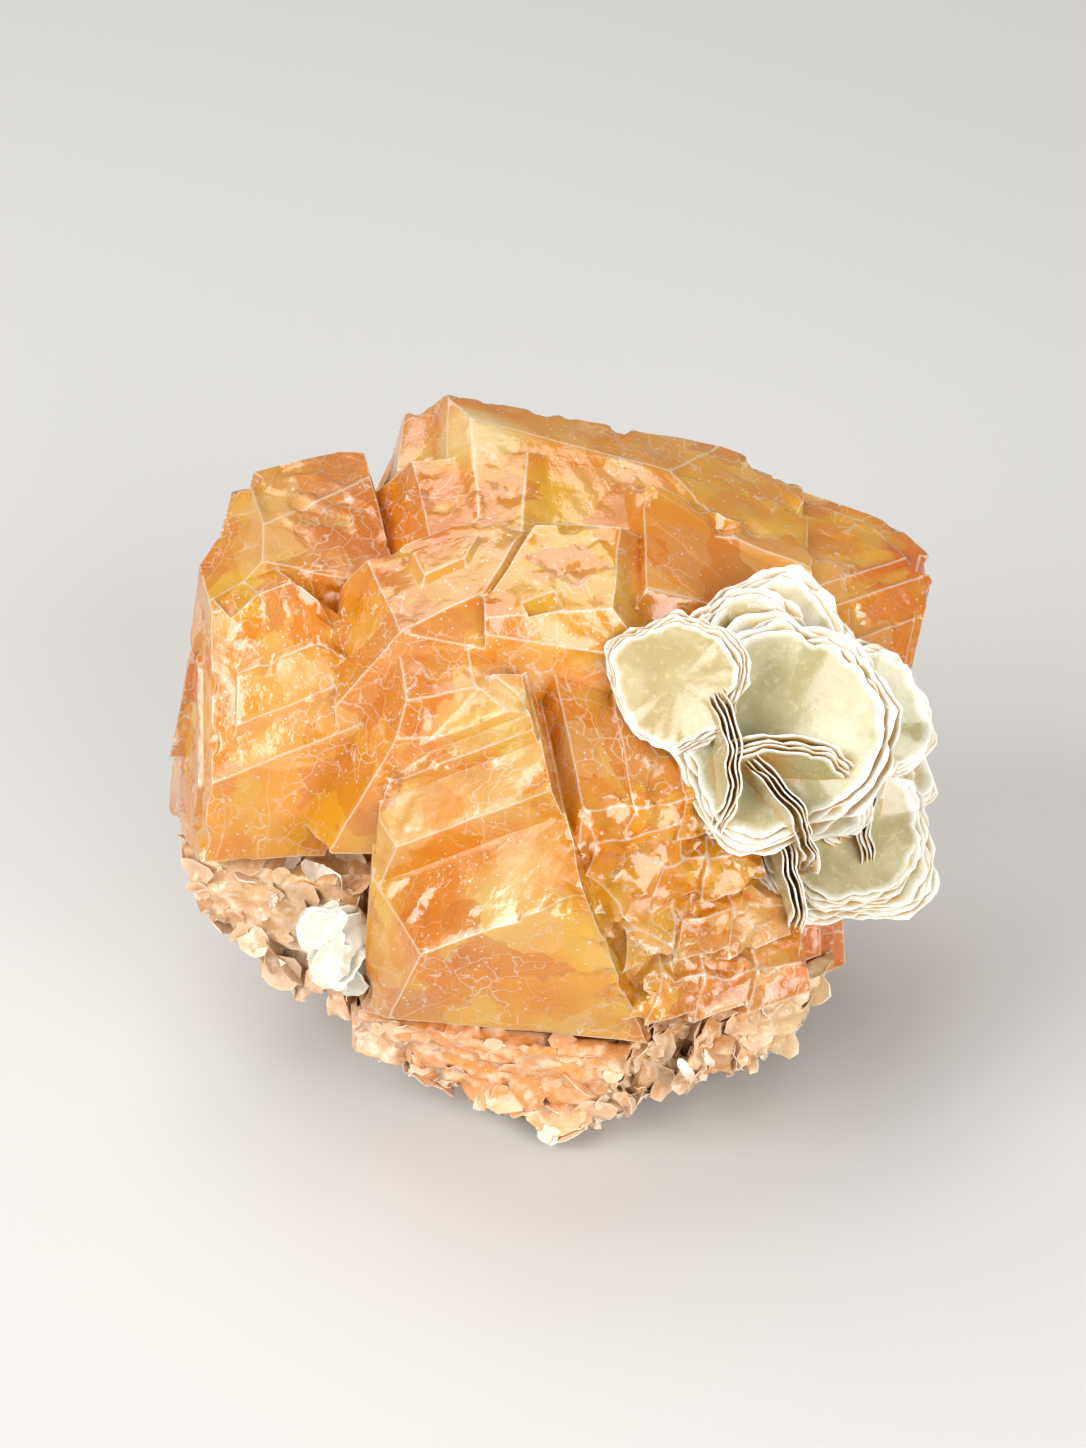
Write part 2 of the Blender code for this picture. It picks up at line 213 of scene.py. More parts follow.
def surface_facts(bm, layer):
    """Arrays for each vertex: design place, normal, facet number, whether it is on
    the border between facets, and whether it is on an outward edge."""
    bm.normal_update()
    bm.verts.ensure_lookup_table()
    count = len(bm.verts)
    place = np.array([v.co for v in bm.verts]) / MM + ORIGIN
    normal = np.array([v.normal for v in bm.verts])
    facet = np.zeros(count, int)
    border = np.zeros(count, bool)
    outward = np.zeros(count, bool)
    for vert in bm.verts:
        faces = vert.link_faces
        facet[vert.index] = faces[0][layer]
        if any(face[layer] != faces[0][layer] for face in faces):
            border[vert.index] = True
    for edge in bm.edges:
        if len(edge.link_faces) == 2 and edge.is_convex:
            if edge.calc_face_angle() > math.radians(SHARP_ANGLE):
                outward[edge.verts[0].index] = True
                outward[edge.verts[1].index] = True
    return place, normal, facet, border, outward


def gap_to(place, chosen):
    """Distance from each point to the nearest chosen one, in millimetres."""
    tree = KDTree(int(chosen.sum()))
    for number, index in enumerate(np.flatnonzero(chosen)):
        tree.insert(place[index], number)
    tree.balance()
    return np.array([tree.find(point)[2] for point in place])


def write_mesh(bm, name, place):
    """Puts the moved vertices back and makes the piece."""
    for vert, spot in zip(bm.verts, (place - ORIGIN) * MM):
        vert.co = spot
    mesh = bpy.data.meshes.new(name)
    bm.to_mesh(mesh)
    bm.free()
    item = bpy.data.objects.new(name, mesh)
    bpy.context.scene.collection.objects.link(item)
    return item


def paint(item, name, values):
    """A number or a colour for each vertex, for the material to read."""
    if values.ndim == 1:
        layer = item.data.attributes.new(name, "FLOAT", "POINT")
        layer.data.foreach_set("value", values.astype(np.float32))
        return
    layer = item.data.attributes.new(name, "FLOAT_VECTOR", "POINT")
    layer.data.foreach_set("vector", values.astype(np.float32).ravel())


def shade(item, angle):
    """Smooth shading, with edges sharper than the angle left crisp."""
    for face in item.data.polygons:
        face.use_smooth = True
    item.data.set_sharp_from_angle(angle=math.radians(angle))


def shown(red, green, blue):
    """A colour as a screen shows it, 0 to 255, in the values that shaders use."""
    parts = np.array((red, green, blue)) / 255
    return tuple(np.where(parts < 0.04045, parts / 12.92, ((parts + 0.055) / 1.055) ** 2.4))


# Colour regions of the crystals: centre, radius in millimetres, colour.
TONES = [
    ((-21, -11, 41), 7, (228, 142, 64)),
    ((-22, -13, 30), 8, (246, 154, 48)),
    ((-31, -7, 36), 6, (222, 140, 72)),
    ((-26, -2, 46), 4, (252, 200, 90)),
    ((-21, -5, 45), 3.5, (206, 124, 60)),
    ((-25, 8, 50), 6, (220, 144, 80)),
    ((-16, 7, 48), 4.5, (206, 104, 30)),
    ((-12, -1, 50), 4, (226, 146, 84)),
    ((-8, -5, 51), 5, (232, 152, 84)),
    ((-9, -13, 46), 5, (224, 138, 70)),
    ((-6, 15, 53), 3.2, (252, 222, 178)),
    ((2, 17, 52), 3.5, (240, 158, 78)),
    ((0, 4, 51), 5, (255, 180, 66)),
    ((3, -8, 51), 4.5, (254, 176, 70)),
    ((14, 13, 50), 6, (240, 160, 74)),
    ((18, 10, 49), 4, (232, 146, 80)),
    ((23, 19, 45), 3, (240, 190, 140)),
    # A yellow patch high on the right crystal: a painted highlight over its orange.
    ((25, 8, 45), 4.5, (255, 186, 40)),
    ((32, 8, 43), 4, (196, 100, 24)),
    ((33, -2, 36), 7, (232, 124, 22)),
    ((14, 0, 49), 5, (222, 130, 52)),
    ((-5, -17, 43), 3.5, (252, 206, 140)),
    ((-10, -18, 37), 3, (240, 196, 150)),
    ((-3, -23, 39), 3, (206, 146, 70)),
    ((-5, -19, 40), 2.5, (196, 142, 58)),
    ((-8, -22, 36), 3, (246, 184, 92)),
    ((-4, -28, 31), 3.5, (244, 204, 162)),
    ((-14, -20, 29), 4.5, (240, 168, 72)),
    ((-2, -28, 26), 5, (240, 140, 24)),
    ((-10, -26, 20), 5, (246, 158, 44)),
    ((0, -23, 36), 2.5, (214, 122, 34)),
    ((6, -19, 39), 4.5, (222, 140, 80)),
    ((8, -23, 34), 4.5, (232, 140, 56)),
    ((5, -26, 28), 4.5, (252, 172, 64)),
    ((13, -23, 31), 4.5, (242, 140, 36)),
    ((3, -17, 41), 2.5, (190, 118, 66)),
    ((19, -22, 25), 5, (208, 126, 72)),
    ((13, -25, 23), 4.5, (220, 136, 70)),
    ((5, -27, 18), 4.5, (228, 150, 78)),
    ((-6.2, -28, 26.6), 1.8, (140, 128, 50)),
]
TONE_ELSEWHERE = (234, 130, 42)
# Light inside the crystals takes their colour more than once, so each part of
# the colour is raised to its own power.
VIVID = (0.28, 0.75, 1.45)


def tone_colours(place, tones, elsewhere):
    """Each vertex takes a blend of the colour regions round it."""
    total = np.full(len(place), 0.04)
    colour = np.array(shown(*elsewhere)) * total[:, None]
    wander = np.stack([smooth_noise(place, 5, 31 + k) for k in range(3)], axis=1) * 2
    for centre, radius, tone in tones:
        gap = np.linalg.norm(place + wander - np.array(centre), axis=1) / radius
        weight = np.exp(-2 * gap * gap)
        total += weight
        colour += weight[:, None] * np.array(shown(*tone))
    return colour / total[:, None]


# The crystals' relief, in millimetres.

CRYSTAL_EDGE = 0.75
STEP_SPACING = (1.8, 5.2)
STEP_DEPTH = 0.16
HILL_HEIGHT = 0.05
# Broken plates: their size, how far they tilt, and how deep they lie.
PLATE_SIZE = 3.1
PLATE_TILT = 0.24
PLATE_DEPTH = 0.16
# The scales all lean one way, and each a little its own way.
SCALE_LEAN = (0.08, -0.15, -0.34)
SCALE_TILT = 0.1
# How far edges wander, on the crystals and, as well, on the scales.
SWAY = 0.14
SCALE_SWAY = 0.75
WEAR_DEPTH = 0.07
WEAR_REACH = 0.6
# Bites out of the edges: how many, and their radius.
BITE_SEED = 5
BITES = 240
BITE_RADIUS = (0.6, 2.6)

# The scaly mass low on the right: centre and radius.
SCALES_AT = (11, -22, 29)
SCALES_REACH = 14
# Faces that are nearly flat: centre and radius.
CALM = [((-21, -11, 40), 11), ((-22, -13, 30), 9), ((-5, -28, 24), 9), ((20, 6, 47), 9)]
# Colours of the deep places, the veils, and the pale and the deep plates.
DEEP = (204, 88, 8)
VEIL = (240, 190, 140)
PALE_PLATE = (248, 186, 110)
DEEP_PLATE = (198, 100, 24)


def plate_tilts(label):
    """Each plate's own tilt, worked out from its random number."""
    return np.stack([label * 17.3 % 1, label * 39.7 % 1, label * 71.9 % 1], axis=1) - 0.5


def growth_steps(place, normal, facets):
    """Step number along each facet, and the way in which the steps run."""
    way = np.stack([cell_random(facets, 40 + k) for k in range(3)], axis=1) - 0.5
    way -= normal * np.sum(way * normal, axis=1)[:, None]
    way /= np.linalg.norm(way, axis=1)[:, None] + 1e-9
    along = np.sum(place * way, axis=1)
    along += 0.9 * layered_noise(place, 5, 3)
    least, most = STEP_SPACING
    return along / (least + (most - least) * cell_random(facets, 50)), way


def bite_edges(place, normal, outward):
    """Breaks rough hollows out of the outward edges, in place. Each one moves
    along a single line, so that the two sides of a thin edge never cross."""
    dice = np.random.default_rng(BITE_SEED)
    edges = np.flatnonzero(outward)
    for number in range(BITES):
        index = dice.choice(edges)
        radius = dice.uniform(*BITE_RADIUS)
        centre = place[index] + normal[index] * radius * dice.uniform(0.55, 0.85)
        centre += dice.normal(0, 0.25, 3)
        gap = np.linalg.norm((place - centre) * dice.uniform(0.7, 1.4, 3), axis=1)
        near = np.flatnonzero(gap < 1.3 * radius)
        reach = radius * (1 + 0.3 * layered_noise(place[near], 1.4, 401 + number, 2))
        place[near] -= normal[index] * np.clip(reach - gap[near], 0, None)[:, None]


def crystal_colours(place, facets, label, plate):
    """Regions, facets, deep places, veils and plates; plate is how far each one shows."""
    colour = tone_colours(place, TONES, TONE_ELSEWHERE)
    colour *= (0.82 + 0.36 * cell_random(facets, 88))[:, None]
    deep = ramp(layered_noise(place, 10, 101), 0.0, 0.5)
    colour = blend(0.6 * deep, colour, np.array(shown(*DEEP)))
    veil = ramp(layered_noise(place, 6, 131, 4), 0.08, 0.42)
    colour = blend(0.45 * veil, colour, np.array(shown(*VEIL)))
    colour = blend(0.55 * plate * (label > 0.72), colour, np.array(shown(*PALE_PLATE)))
    colour = blend(0.45 * plate * (label < 0.22), colour, np.array(shown(*DEEP_PLATE)))
    return np.clip(colour, 0, 1) ** np.array(VIVID)


def crystal_relief(bm, layer):
    """The moved vertices, and the numbers that the material reads for each one."""
    place, normal, facet, border, outward = surface_facts(bm, layer)
    edge = gap_to(place, outward)
    inside = ramp(gap_to(place, border), 0.05, 0.9)
    facets = np.stack([facet, facet * 3 + 1, facet * 7 + 2], axis=1)
    steps, way = growth_steps(place, normal, facets)
    strength = ramp(layered_noise(place, 9, 12), -0.4, 0.5)
    height = -STEP_DEPTH * (steps - np.floor(steps)) * strength
    height += HILL_HEIGHT * layered_noise(place, 4, 21)
    from_scales = np.linalg.norm(place - np.array(SCALES_AT), axis=1)
    scaly = 1 - ramp(from_scales, 0.6 * SCALES_REACH, SCALES_REACH)
    relief = np.ones(len(place))
    for centre, reach in CALM:
        gap = np.linalg.norm(place - np.array(centre), axis=1)
        relief = np.minimum(relief, 0.2 + 0.8 * ramp(gap, 0.6 * reach, reach))
    first, second, label, away = cell_noise(place + 0.8 * way, PLATE_SIZE, 61)
    tilt = plate_tilts(label)
    tilt = blend(scaly, tilt * PLATE_TILT, np.array(SCALE_LEAN) + tilt * SCALE_TILT)
    broken = np.maximum(ramp(layered_noise(place, 7, 77), -0.05, 0.2), scaly)
    height += np.sum(tilt * away, axis=1) * broken
    height -= PLATE_DEPTH * label * broken
    place = place + normal * (height * inside * relief)[:, None]
    # No edge is quite straight, least of all the scales'.
    sway = np.stack([layered_noise(place, 3.2, 301 + k, 2) for k in range(3)], axis=1)
    place += sway * (SWAY + SCALE_SWAY * scaly)[:, None]
    place -= normal * (WEAR_DEPTH * (1 - ramp(edge, 0.0, WEAR_REACH)))[:, None]
    bite_edges(place, normal, outward)
    # Where no plate is broken, its seam is far away.
    seam = 2 + inside * broken * (second - first - 2)
    facts = {
        "tone": crystal_colours(place, facets, label, broken * inside),
        "edge": edge,
        "seam": seam,
        "steps": steps,
        "stepped": strength * inside * (0.4 + 0.6 * relief),
        "cracked": ramp(layered_noise(place, 8, 151), -0.3, 0.15),
        "dusty": ramp(layered_noise(place, 4, 171), -0.3, 0.3),
        "dull": 0.12 + 0.24 * ramp(layered_noise(place, 5, 191), -0.3, 0.4),
    }
    return place, facts


def in_box(place):
    """Design places, held inside the box of the solids."""
    low = np.array(cad_box[0]) / MM + ORIGIN
    high = np.array(cad_box[1]) / MM + ORIGIN
    return np.clip(place, low, high)


# Node helpers.

def new_material(name):
    made = bpy.data.materials.new(name)
    made.use_nodes = True
    made.node_tree.nodes.clear()
    return made


class Graph:
    """A short way to write a material's nodes."""

    def __init__(self, made):
        self.tree = made.node_tree

    def node(self, kind, **settings):
        item = self.tree.nodes.new(kind)
        inputs = settings.pop("inputs", {})
        for name, value in settings.items():
            setattr(item, name, value)
        for name, value in inputs.items():
            self.put(item.inputs[name], value)
        return item

    def put(self, socket, value):
        if isinstance(value, bpy.types.NodeSocket):
            self.tree.links.new(value, socket)
        else:
            socket.default_value = value

    def math(self, operation, first, second=0.0):
        item = self.node("ShaderNodeMath", operation=operation)
        self.put(item.inputs[0], first)
        self.put(item.inputs[1], second)
        return item.outputs[0]

    def mix(self, share, first, second):
        item = self.node("ShaderNodeMix", data_type="RGBA")
        self.put(item.inputs[0], share)
        self.put(item.inputs[6], first if isinstance(first, bpy.types.NodeSocket) else (*first, 1))
        self.put(item.inputs[7], second if isinstance(second, bpy.types.NodeSocket) else (*second, 1))
        return item.outputs[2]

    def map(self, value, low, high, to_low=0.0, to_high=1.0):
        item = self.node("ShaderNodeMapRange", interpolation_type="SMOOTHSTEP")
        self.put(item.inputs["Value"], value)
        self.put(item.inputs["From Min"], low)
        self.put(item.inputs["From Max"], high)
        self.put(item.inputs["To Min"], to_low)
        self.put(item.inputs["To Max"], to_high)
        return item.outputs["Result"]

    def noise(self, where, scale, detail=3.0, distortion=0.0):
        return self.node("ShaderNodeTexNoise", inputs={
            "Vector": where, "Scale": scale, "Detail": detail, "Distortion": distortion,
            "Roughness": 0.55})

    def cells(self, where, scale, feature="DISTANCE_TO_EDGE"):
        return self.node("ShaderNodeTexVoronoi", feature=feature, inputs={
            "Vector": where, "Scale": scale})


def crystal_material():
    made = new_material("scheelite_look")
    g = Graph(made)
    where = g.node("ShaderNodeTexCoord").outputs["Object"]
    tone = g.node("ShaderNodeAttribute", attribute_name="tone").outputs["Color"]
    fact = {name: g.node("ShaderNodeAttribute", attribute_name=name).outputs["Fac"]
            for name in ("edge", "seam", "steps", "stepped", "cracked", "dusty", "dull")}
    # Places are in metres, so a scale of 1000 changes once in a millimetre.
    warp = g.noise(where, 300.0, 2.0)
    shift = g.node("ShaderNodeVectorMath", operation="SCALE", inputs={"Scale": 0.004})
    g.put(shift.inputs[0], warp.outputs["Color"])
    bent = g.node("ShaderNodeVectorMath", operation="ADD")
    g.put(bent.inputs[0], where)
    g.put(bent.inputs[1], shift.outputs[0])
    bent = bent.outputs[0]
    # Cracks between cells, and hair lines that run like contours.
    cracks = g.map(g.cells(bent, 380.0).outputs["Distance"], 0.0, 0.03, 1.0, 0.0)
    level = g.math("FRACT", g.math("MULTIPLY", g.noise(bent, 150.0, 3.0).outputs["Fac"], 22.0))
    hairs = g.map(level, 0.0, 0.10, 1.0, 0.0)
    lines = g.math("MULTIPLY", g.math("MAXIMUM", cracks, g.math("MULTIPLY", hairs, 0.7)), fact["cracked"])
    # Growth steps and broken plates end in a pale line, partly a real step edge and partly a painted
    # highlight on it.
    riser_line_and_highlight = g.map(g.math("FRACT", fact["steps"]), 0.0, 0.05, 1.0, 0.0)
    riser_line_and_highlight = g.math("MULTIPLY", riser_line_and_highlight, fact["stepped"])
    seam = g.map(fact["seam"], 0.0, 0.16, 1.0, 0.0)
    lines = g.math("MAXIMUM", lines, g.math("MAXIMUM", g.math("MULTIPLY", riser_line_and_highlight, 0.8), seam))
    dots = g.cells(where, 1300.0, "F1").outputs["Distance"]
    specks = g.math("MULTIPLY", g.map(dots, 0.10, 0.17, 1.0, 0.0), fact["dusty"])
    # Pale band along the outward edges: partly pale chipped edge, partly a painted highlight where the
    # edges catch the light.
    rim = g.map(fact["edge"], 0.0, 0.22, 1.0, 0.0)
    # Panels: flat patches inside the crystals, paler or deeper than the rest.
    panels = g.cells(bent, 190.0, "F1").outputs["Color"]
    parts = g.node("ShaderNodeSeparateColor", inputs={"Color": panels})
    paler = g.map(parts.outputs["Red"], 0.68, 0.70, 0.0, 0.42)
    deeper = g.map(parts.outputs["Green"], 0.70, 0.72, 0.0, 0.5)
    colour = g.mix(paler, tone, shown(255, 204, 122))
    colour = g.mix(deeper, colour, shown(226, 122, 14))
    # Pale lines: cracks and hair lines, with painted highlights on step and plate edges.
    colour = g.mix(g.math("MULTIPLY", lines, 0.75), colour, shown(255, 240, 214))
    # The painted edge highlight, partly chipped edge, goes in here.
    colour = g.mix(g.math("MULTIPLY", rim, 0.85), colour, shown(255, 238, 206))
    colour = g.mix(specks, colour, shown(255, 250, 238))
    fine = g.noise(where, 900.0, 3.0).outputs["Fac"]
    bump = g.node("ShaderNodeBump", inputs={"Strength": 1.0, "Distance": 0.00007, "Height": fine})
    shader = g.node("ShaderNodeBsdfPrincipled", inputs={
        "Base Color": colour, "Roughness": fact["dull"], "Normal": bump.outputs["Normal"],
        "IOR": 1.92, "Specular IOR Level": 0.3, "Transmission Weight": 0.5})
    out = g.node("ShaderNodeOutputMaterial")
    g.put(out.inputs["Surface"], shader.outputs[0])
    volume = g.node("ShaderNodeVolumeAbsorption", inputs={
        "Color": (1.0, 0.72, 0.20, 1), "Density": 30.0})
    g.put(out.inputs["Volume"], volume.outputs[0])
    return made


def crust_material():
    made = new_material("tan_mica_look")
    g = Graph(made)
    where = g.node("ShaderNodeTexCoord").outputs["Object"]
    tone = g.node("ShaderNodeAttribute", attribute_name="tone").outputs["Color"]
    rim = g.node("ShaderNodeAttribute", attribute_name="rim").outputs["Fac"]
    small = g.noise(where, 700.0, 4.0, 0.5).outputs["Fac"]
    level = g.math("FRACT", g.math("MULTIPLY", g.noise(where, 260.0, 3.0, 0.6).outputs["Fac"], 16.0))
    hairs = g.map(level, 0.0, 0.12, 1.0, 0.0)
    colour = g.mix(g.math("MULTIPLY", g.map(small, 0.4, 0.7), 0.4), tone, shown(236, 206, 168))
    colour = g.mix(g.math("MULTIPLY", hairs, 0.35), colour, shown(250, 232, 204))
    colour = g.mix(g.math("MULTIPLY", rim, 0.5), colour, shown(252, 236, 210))
    glint = g.map(g.cells(where, 1500.0, "F1").outputs["Distance"], 0.08, 0.16, 1.0, 0.0)
    glint = g.math("MULTIPLY", glint, g.map(g.noise(where, 400.0).outputs["Fac"], 0.5, 0.6))
    colour = g.mix(glint, colour, shown(255, 250, 240))
    rough = g.map(small, 0.35, 0.65, 0.16, 0.38)
    bump = g.node("ShaderNodeBump", inputs={"Strength": 0.5, "Distance": 0.0002, "Height": small})
    shader = g.node("ShaderNodeBsdfPrincipled", inputs={
        "Base Color": colour, "Roughness": rough, "Normal": bump.outputs["Normal"],
        "IOR": 1.58, "Coat Weight": 0.25, "Coat Roughness": 0.15})
    out = g.node("ShaderNodeOutputMaterial")
    g.put(out.inputs["Surface"], shader.outputs[0])
    return made


def leaf_material():
    made = new_material("muscovite_look")
    g = Graph(made)
    where = g.node("ShaderNodeTexCoord").outputs["Object"]
    rim = g.node("ShaderNodeAttribute", attribute_name="rim").outputs["Fac"]
    warm = g.node("ShaderNodeAttribute", attribute_name="warm").outputs["Fac"]
    # The deep attribute is painted shade between leaves.
    deep = g.node("ShaderNodeAttribute", attribute_name="deep").outputs["Fac"]
    big = g.noise(where, 200.0, 3.0, 0.4).outputs["Fac"]
    small = g.noise(where, 1400.0, 4.0, 0.2).outputs["Fac"]
    colour = g.mix(g.map(big, 0.35, 0.65), shown(166, 156, 110), shown(190, 182, 144))
    colour = g.mix(warm, colour, shown(190, 152, 98))
    colour = g.mix(g.math("MULTIPLY", g.map(small, 0.55, 0.75), 0.3), colour, shown(226, 222, 196))
    colour = g.mix(g.math("MULTIPLY", rim, 0.9), colour, shown(250, 248, 240))
    # Painted shade: amber-dark where another leaf lies close over the face.
    colour = g.mix(g.math("MULTIPLY", deep, 0.9), colour, shown(198, 146, 62))
    rough = g.map(small, 0.35, 0.7, 0.16, 0.34)
    bump = g.node("ShaderNodeBump", inputs={"Strength": 0.4, "Distance": 0.0001, "Height": small})
    shader = g.node("ShaderNodeBsdfPrincipled", inputs={
        "Base Color": colour, "Roughness": rough, "Normal": bump.outputs["Normal"],
        "IOR": 1.58, "Coat Weight": 0.3, "Coat Roughness": 0.12})
    out = g.node("ShaderNodeOutputMaterial")
    g.put(out.inputs["Surface"], shader.outputs[0])
    return made


# Thin plates, leaves and flakes, many to a mesh.

class Plates:
    """Collects thin closed plates into one mesh."""

    def __init__(self):
        self.points = []
        self.faces = []
        self.values = {}

    def add(self, rings, faces, **values):
        start = len(self.points)
        self.points.extend(rings)
        self.faces.extend(tuple(start + index for index in face) for face in faces)
        for name, column in values.items():
            self.values.setdefault(name, []).extend(column)

    def make(self, name):
        mesh = bpy.data.meshes.new(name)
        spots = (in_box(np.array(self.points)) - ORIGIN) * MM
        mesh.from_pydata(spots.tolist(), [], self.faces)
        mesh.validate()
        item = bpy.data.objects.new(name, mesh)
        bpy.context.scene.collection.objects.link(item)
        for label, column in self.values.items():
            paint(item, label, np.array(column))
        return item


def sheet(plates, centre, normal, spin, outline, cup, thickness, rim_thickness, rows, warm, dice,
          tone=None, pale=0.0, wave=None):
    """A thin leaf: outline is its radius at each angle, cup its dish, all in mm.
    Leaves of one book share a wave, so that they lie alike."""
    stand = np.array(Vector(normal).to_track_quat("Z", "Y").to_matrix())
    around = len(outline)
    angles = np.arange(around) * 2 * math.pi / around + spin
    shares = np.concatenate([np.linspace(0.15, 0.9, rows - 2), (0.96, 1.0)])
    wave = dice.uniform(0, 6.28, 4) if wave is None else wave
    upper = [np.array((0.0, 0.0, 0.0))]
    lower = [np.array((0.0, 0.0, -thickness))]
    rim_value = [pale]
    middle = outline.mean()
    for share in shares:
        reach = share * (middle + (outline - middle) * share ** 2)
        dish = cup * reach ** 2 / middle * (1 + 0.5 * np.sin(2 * angles + wave[0]))
        ruffle = 0.16 * share ** 3 * np.sin(7 * angles + wave[1])
        ruffle += 0.10 * share ** 3 * np.sin(13 * angles + wave[2])
        ripple = 0.03 * np.sin(share * 24 + wave[3] + 0.5 * np.sin(3 * angles))
        heft = thickness + (rim_thickness - thickness) * max(0.0, (share - 0.9) / 0.1)
        lift = dish + ruffle + ripple
        top = np.stack([reach * np.cos(angles), reach * np.sin(angles), lift + heft - thickness], 1)
        low = np.stack([reach * np.cos(angles), reach * np.sin(angles), lift - thickness], 1)
        if share == 1.0:
            top[:, 2] -= heft * 0.3
            low[:, 2] += heft * 0.3
        upper.extend(top)
        lower.extend(low)
        rim_value.extend([max(pale, (share - 0.93) / 0.07)] * around)
    count = len(upper)
    points = [centre + stand @ point for point in upper + lower]
    faces = []
    for step in range(around):
        after = (step + 1) % around
        faces.append((0, 1 + step, 1 + after))
        faces.append((count, count + 1 + after, count + 1 + step))
        for row in range(len(shares) - 1):
            a = 1 + row * around + step
            b = 1 + row * around + after
            c = a + around
            d = b + around
            faces.append((a, c, d, b))
            faces.append((count + a, count + b, count + d, count + c))
        last = 1 + (len(shares) - 1) * around
        faces.append((last + step, count + last + step, count + last + after, last + after))
    values = {"rim": rim_value * 2, "warm": [warm] * (2 * count)}
    if tone is not None:
        values["tone"] = [tone] * (2 * count)
    plates.add(points, faces, **values)


def leaf_outline(radius, around, turn, lift, dice, jag=0.035, cuts=()):
    """A leaf's radius at each angle; cuts are straight broken edges, as an angle
    and a share of the radius."""
    angles = np.arange(around) * 2 * math.pi / around
    reach = 1 + 0.08 * np.sin(3 * angles + turn) + 0.05 * np.sin(5 * angles + lift)
    for towards, share in cuts:
        reach = np.minimum(reach, share / np.maximum(np.cos(angles - towards), 0.2))
    rough = dice.normal(0, jag, around)
    rough = (rough + np.roll(rough, 1)) / 2
    scallop = 0.035 * np.abs(np.sin(8 * angles + dice.uniform(0, 6)))
    return radius * (reach + rough + scallop) / 1.02


# The rosette's leaves, on or near the solid's: centre, turn and lift of the
# face, radius and cupping, and then how warm the leaf looks.
LEAVES = [
    ((11.5, -14.5, 45.5), -20, 25, 5.5, 0.10, 0.35),
    ((20.3, -15.9, 41.8), -12, 42, 9.0, 0.12, 0.0),
    ((16.6, -11.7, 43.4), -8, 38, 7, 0.12, 0.2),
    ((20, -10, 43.5), 10, 40, 7.5, 0.12, 0.1),
    ((26.3, -11.0, 39), 40, 30, 7, 0.15, 0.0),
    ((27, -10.5, 35.5), 55, 25, 8, 0.15, 0.0),
    ((28.0, -10.2, 31.5), 62, 10, 6, 0.15, 0.0),
    ((14.5, -16.5, 39), -72, 8, 6, 0.10, 0.3),
    ((20.5, -18.5, 37.5), -10, -15, 6.5, 0.10, 0.2),
    ((18.5, -18.5, 35.5), -45, -15, 6.5, 0.10, 0.4),
    ((19.5, -17.5, 29.5), -60, -8, 6, 0.10, 0.5),
    ((26, -15.5, 31), 15, 45, 7, 0.10, 0.1),
    ((26, -15, 29.5), 10, 50, 7.5, 0.10, 0.1),
    ((30, -13, 30.5), 60, 12, 5, 0.10, 0.0),
]
LEAF_LAYERS = 4
LAYER_GAP = 0.31
LEAF_THICKNESS = 0.14
LEAF_RIM = 0.29
LEAF_CUTS = 3
LEAF_POINTS = 72
LEAF_ROWS = 9
# Leaves nearer than this put painted shade on each other.
SHADE_REACH = 3.0


def painted_shade_between_leaves(item):
    """How closely each vertex is covered by another leaf, from 0 to 1: the strength of the painted shade
    between leaves.
    """
    tree = BVHTree.FromPolygons(
        [v.co[:] for v in item.data.vertices], [p.vertices[:] for p in item.data.polygons])
    found = np.zeros(len(item.data.vertices))
    for vert in item.data.vertices:
        hit = tree.ray_cast(vert.co + vert.normal * 0.06 * MM, vert.normal, SHADE_REACH * MM)
        if hit[0] is not None:
            found[vert.index] = 1 - hit[3] / (SHADE_REACH * MM)
    return found


def make_rosette(look):
    plates = Plates()
    dice = np.random.default_rng(17)
    for centre, turn, lift, radius, cup, warm in LEAVES:
        normal = np.array(facing(turn, lift))
        cuts = [(dice.uniform(0, 6.28), dice.uniform(0.90, 1.02)) for _ in range(LEAF_CUTS)]
        wave = dice.uniform(0, 6.28, 4)
        for layer in range(LEAF_LAYERS):
            away = (layer - LEAF_LAYERS / 2 + 0.5) * LAYER_GAP
            size = radius * (1.13 - 0.05 * layer)
            tilt = Vector(normal) + Vector(dice.normal(0, 0.015, 3))
            outline = leaf_outline(size, LEAF_POINTS, turn, lift, dice, 0.025, cuts)
            sheet(plates, np.array(centre) + normal * away, tilt.normalized(), 0.0, outline, cup,
                  LEAF_THICKNESS, LEAF_RIM, LEAF_ROWS, warm, dice,
                  wave=wave + dice.normal(0, 0.2, 4))
    item = plates.make("rosette_leaves")
    # Painted shade between leaves, kept as the deep attribute.
    paint(item, "deep", painted_shade_between_leaves(item))
    item.data.materials.append(look)
    shade(item, 50)
    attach(item, "root")
    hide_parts("muscovite_rosette")


def make_crystals(look):
    bm, layer = fine_copy("scheelite_crystals", CRYSTAL_EDGE)
    place, facts = crystal_relief(bm, layer)
    item = write_mesh(bm, "crystals", in_box(place))
    for name, values in facts.items():
        paint(item, name, values)
    shade(item, 13)
    item.data.materials.append(look)
    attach(item, "root")
    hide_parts("scheelite_crystals")


# Colour regions of the crust, as for the crystals.
CRUST_TONES = [
    ((-28, -10, 19), 6, (208, 158, 100)),
    ((-22, -12, 23), 4, (222, 170, 100)),
    ((-26, -11, 11), 7, (210, 166, 126)),
    ((-19, -16, 10), 6, (206, 160, 118)),
    ((-6, -22, 10), 6, (234, 142, 46)),
    ((2, -23, 8), 6, (228, 150, 74)),
    ((7, -23, 8), 4, (208, 166, 118)),
    ((13, -23, 9), 5, (198, 150, 94)),
    ((17, -17, 11), 5, (208, 148, 86)),
    ((24, -13, 9), 6, (214, 180, 128)),
]
CRUST_ELSEWHERE = (200, 140, 84)
